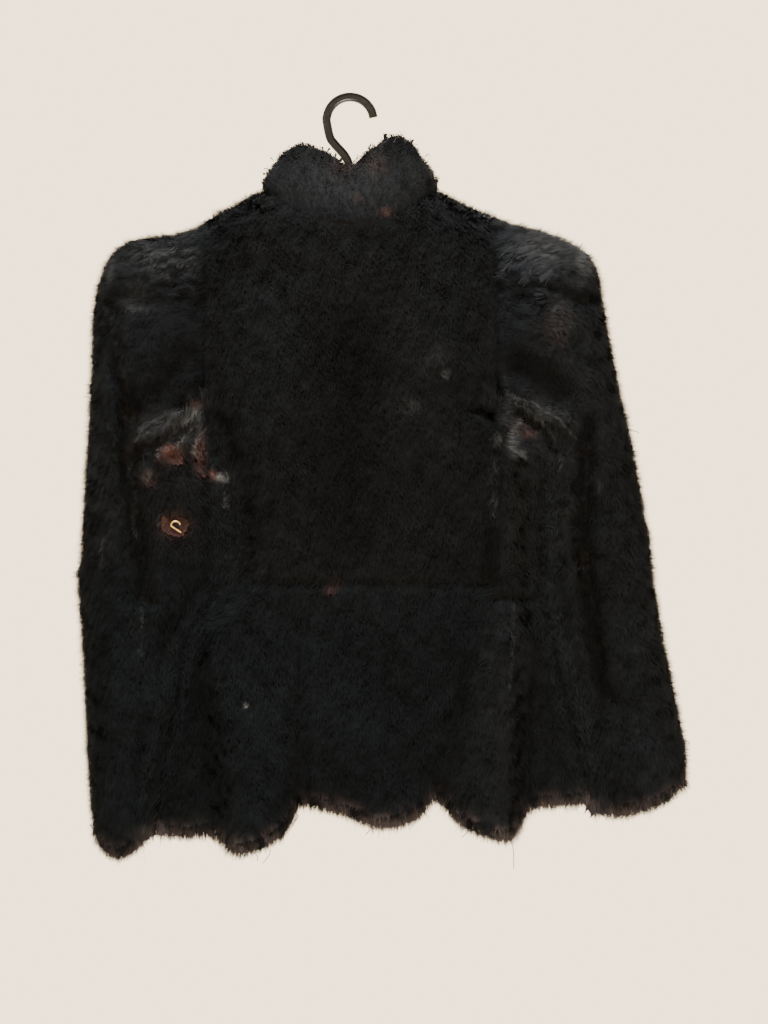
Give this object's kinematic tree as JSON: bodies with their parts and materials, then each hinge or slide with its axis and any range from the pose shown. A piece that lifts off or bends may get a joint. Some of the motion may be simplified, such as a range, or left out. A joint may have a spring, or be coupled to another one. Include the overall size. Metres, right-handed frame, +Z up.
{
  "type": "fur jacket on a hanger",
  "caption": "Short black sheared-fur jacket with a stand collar, gathered sleeve heads and a scalloped hem, hanging on a black plastic hanger, seen from its back.",
  "frame": {"origin": "where a rail bears, under the top of the hanger's hook", "axes": "+Z up, -Y out of the jacket's back, +X towards the wearer's right"},
  "size_m": [0.6125, 0.1132, 0.7615],
  "materials": {
    "fur_brown": "sheared fur, worn brown",
    "fur_black": "sheared black fur",
    "fur_cool": "sheared black fur, cool sheen",
    "hanger_plastic": "moulded black plastic",
    "hook_brass": "small brass wire hook"
  },
  "bodies": {
    "root": {"back_upper": "fur_brown", "back_side_right": "fur_brown", "back_lower_right": "fur_black", "side_right": "fur_black", "front_left": "fur_black", "front_right": "fur_black", "collar": "fur_black", "sleeve_left_upper": "fur_black", "sleeve_right_upper": "fur_black", "sleeve_right_lower": "fur_black", "back_lower_left": "fur_cool", "back_lower_center": "fur_cool", "side_left": "fur_cool", "sleeve_left_lower": "fur_cool", "hanger": "hanger_plastic", "fur_hook": "hook_brass"}
  },
  "joints": []
}
